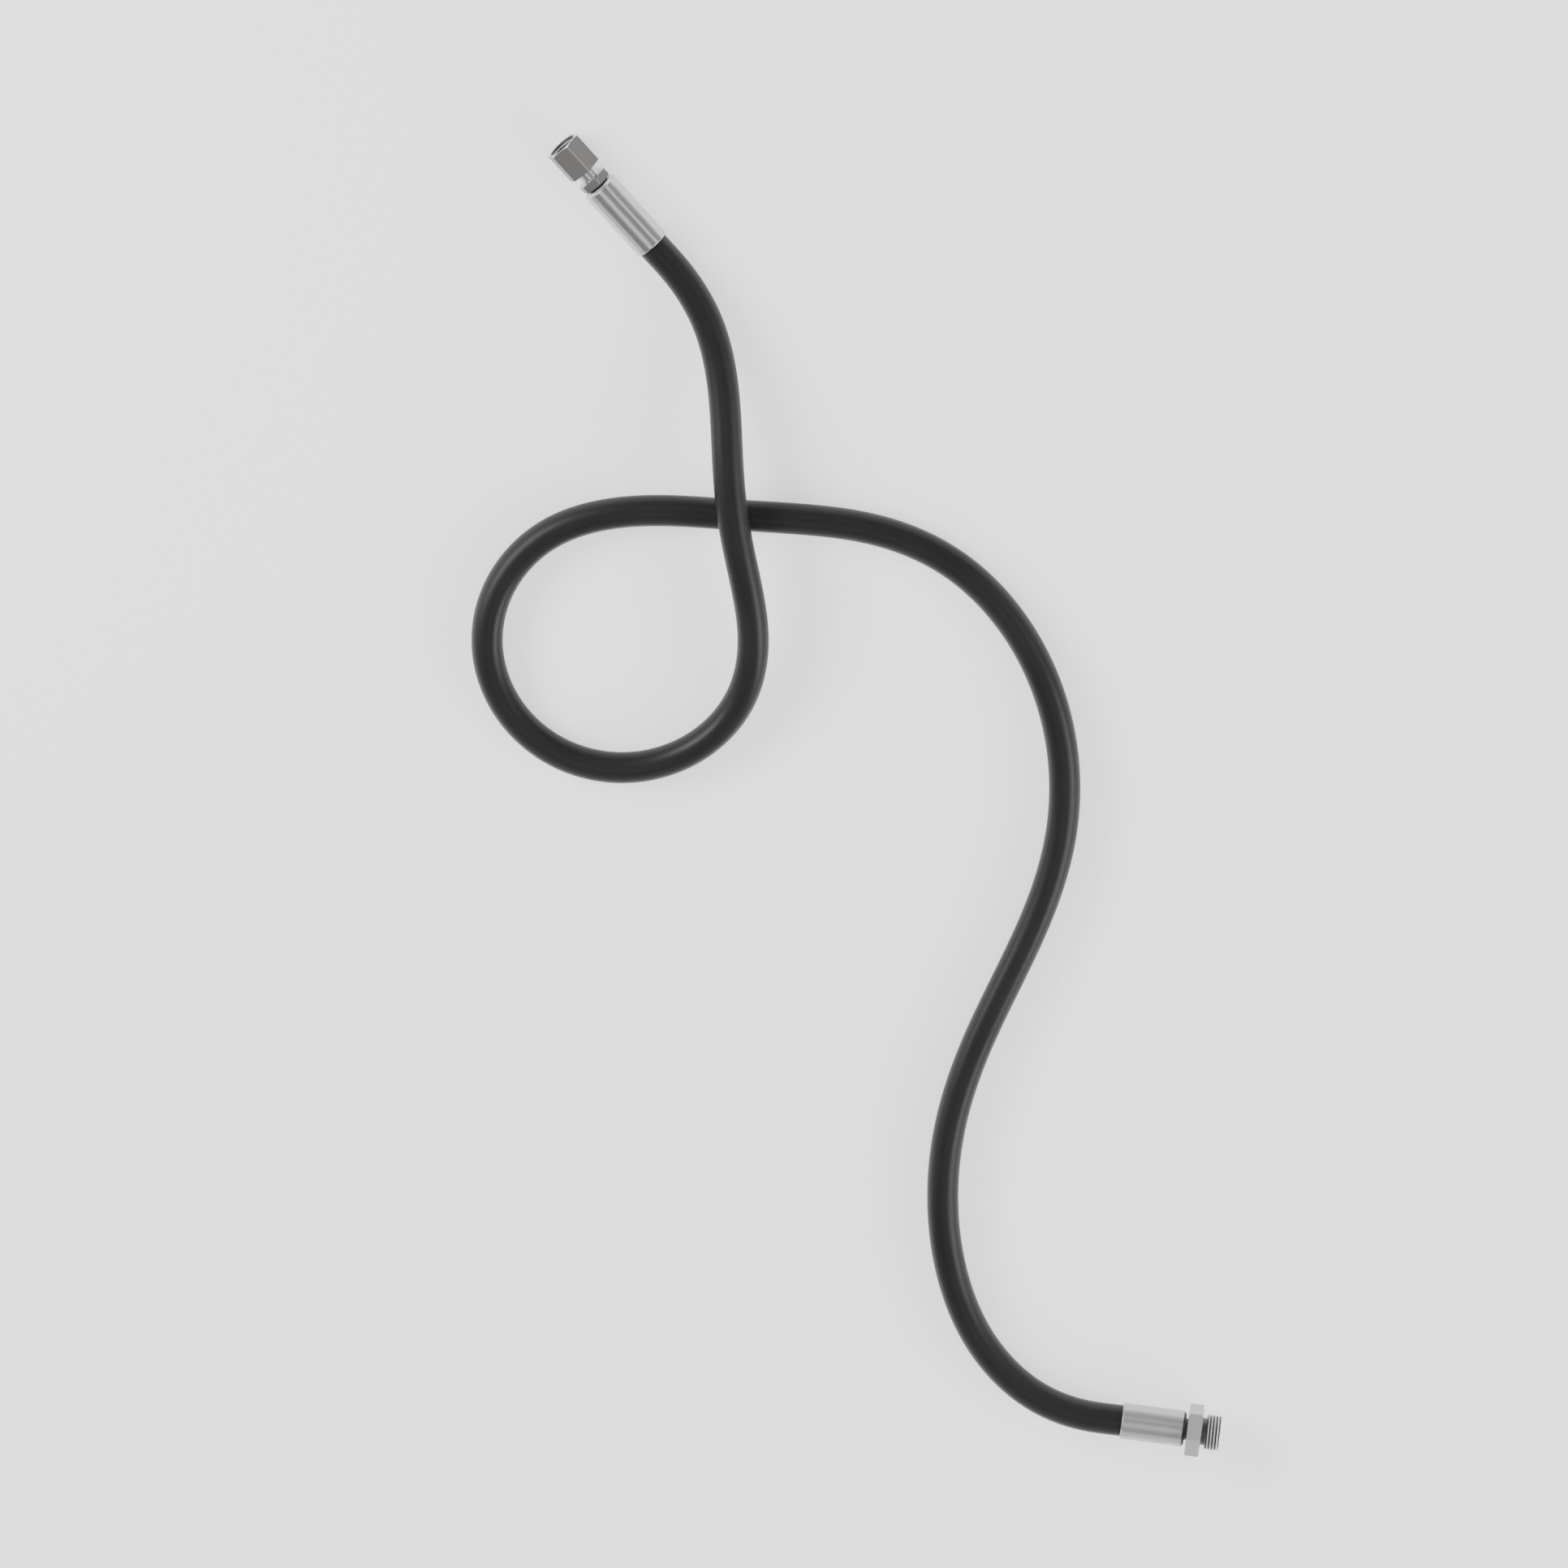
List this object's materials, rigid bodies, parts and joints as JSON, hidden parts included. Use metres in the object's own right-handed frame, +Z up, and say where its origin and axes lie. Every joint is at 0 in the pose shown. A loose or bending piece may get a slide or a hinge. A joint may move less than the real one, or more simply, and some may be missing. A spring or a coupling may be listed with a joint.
{
  "type": "hydraulic hose",
  "caption": "Flexible rubber hydraulic hose lying in a loose curve with one loop, with crimped steel end fittings: a free-turning swivel nut and a fixed male thread.",
  "frame": {"origin": "on the surface the hose lies on, in the middle of the footprint of the two end fittings", "axes": "+Z up; +X along the male thread end's axis, out of its tip; +Y across it, from the male thread end towards the swivel nut end"},
  "size_m": [0.4032, 0.6129, 0.0304],
  "materials": {
    "hose_rubber": "smooth satin black cover",
    "zinc_plated_steel": "bright zinc plate over turned steel",
    "dark_plated_steel": "darker grey plate over milled steel",
    "seal_rubber": "matt black nitrile"
  },
  "bodies": {
    "hose_assembly": {"hose": "hose_rubber", "ferrule_swivel_end": "zinc_plated_steel", "stem_swivel_end": "dark_plated_steel", "cone_o_ring": "seal_rubber", "ferrule_male_end": "zinc_plated_steel", "stem_male_end": "zinc_plated_steel"},
    "nut": {"swivel_nut": "dark_plated_steel", "nut_retaining_wire": "zinc_plated_steel"}
  },
  "joints": [
    {"name": "nut_swivel", "type": "hinge", "parent": "hose_assembly", "child": "nut", "pos_m": [-0.1861, 0.29538, 0.0086], "axis": [-0.7478, 0.6639, 0], "continuous": true}
  ]
}
